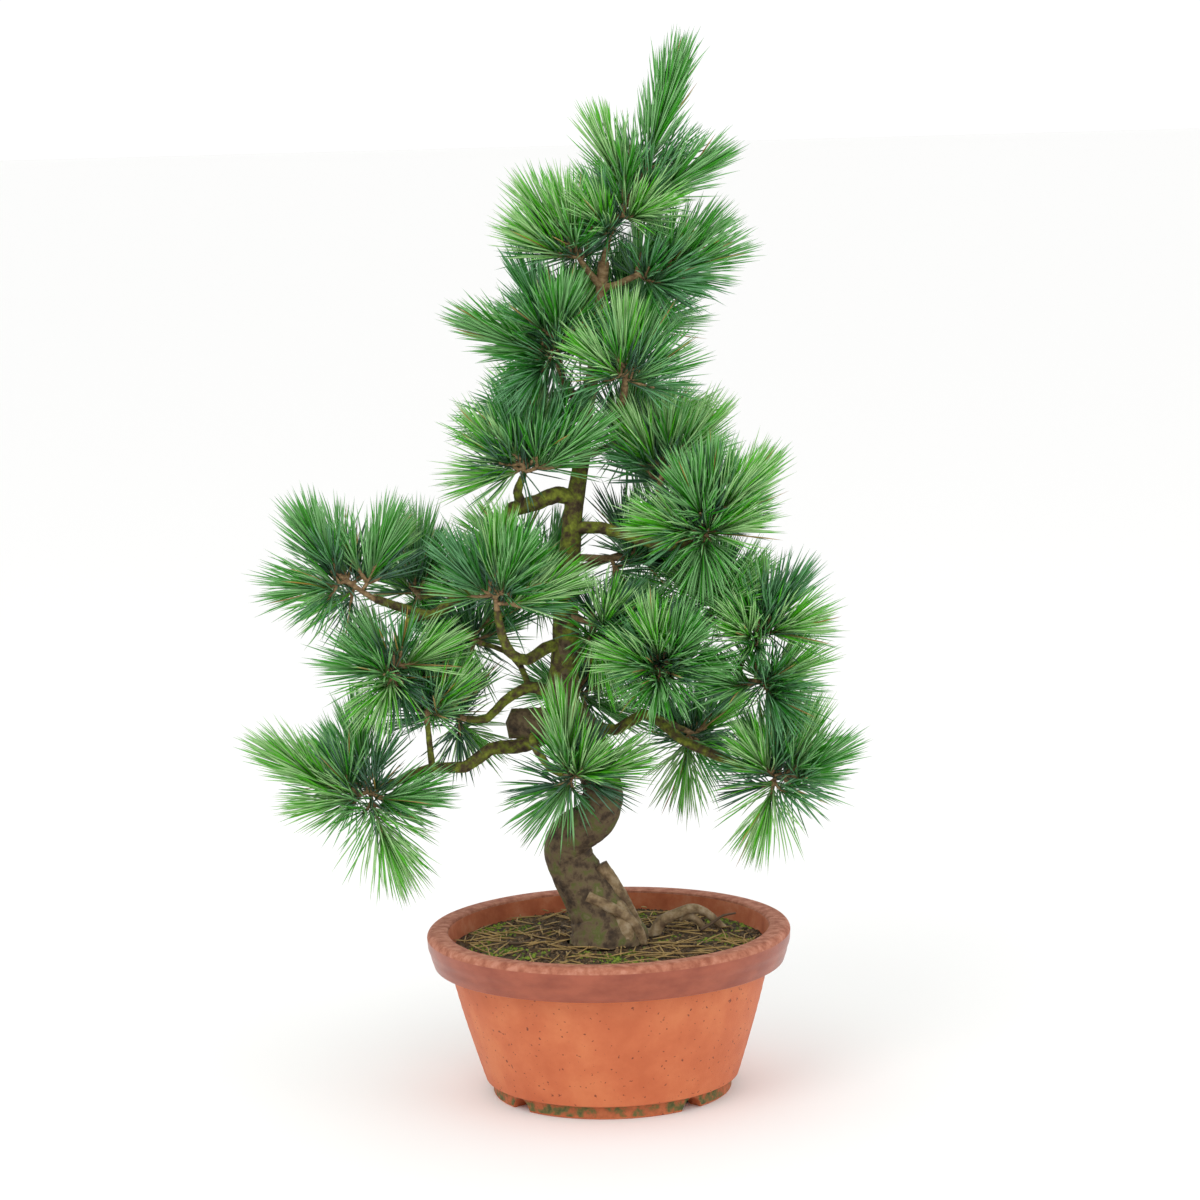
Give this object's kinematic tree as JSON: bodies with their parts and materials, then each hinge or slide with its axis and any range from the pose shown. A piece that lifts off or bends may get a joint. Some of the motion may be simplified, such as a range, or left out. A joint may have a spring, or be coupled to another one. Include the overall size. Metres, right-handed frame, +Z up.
{
  "type": "potted white pine",
  "caption": "Small Japanese white pine with a winding trunk, tufted blue-green needles and a round terracotta training pot that stands on its foot ring.",
  "frame": {"origin": "on the ground under the middle of the whole plant's bounding box", "axes": "+Z up, -Y towards the viewer, +X to the viewer's right"},
  "size_m": [0.4496, 0.274, 0.7528],
  "materials": {
    "terracotta": "fired clay, smooth rim band over a rougher wall",
    "soil": "rough granular earth with moss",
    "bark": "flaking bark with moss",
    "needles": "fresh needles with a waxy bloom"
  },
  "bodies": {
    "root": {"pot": "terracotta", "soil": "soil", "trunk": "bark", "old_stub": "bark", "low_left": "bark", "low_left_rise": "bark", "front_low": "bark", "left_second": "bark", "left_second_back": "bark", "left_mid": "bark", "left_shoulder": "bark", "left_arm": "bark", "left_arm_drop": "bark", "left_arm_back": "bark", "shoulder_up": "bark", "right_upper": "bark", "right_rise": "bark", "right_mid": "bark", "right_mid_front": "bark", "right_out": "bark", "right_out_rise": "bark", "right_low": "bark", "right_low_side": "bark", "upper_left": "bark", "upper_right": "bark", "foliage_low_left": "needles", "foliage_low_left_rise": "needles", "foliage_front_low": "needles", "foliage_left_second": "needles", "foliage_left_second_back": "needles", "foliage_left_mid": "needles", "foliage_left_arm": "needles", "foliage_left_arm_drop": "needles", "foliage_left_arm_back": "needles", "foliage_shoulder_up": "needles", "foliage_right_upper": "needles", "foliage_right_rise": "needles", "foliage_right_mid": "needles", "foliage_right_mid_front": "needles", "foliage_right_out": "needles", "foliage_right_out_rise": "needles", "foliage_right_low": "needles", "foliage_right_low_side": "needles", "foliage_upper_left": "needles", "foliage_upper_right": "needles", "foliage_top_left": "needles", "foliage_top_right": "needles", "foliage_leader": "needles", "foliage_back_low": "needles", "foliage_back_low_right": "needles", "foliage_back_mid_right": "needles", "foliage_back_mid_left": "needles", "foliage_back_high_right": "needles", "foliage_back_high_left": "needles", "foliage_back_upper_left": "needles", "foliage_back_upper_right": "needles", "foliage_mid_right": "needles", "foliage_front_mid": "needles"}
  },
  "joints": []
}
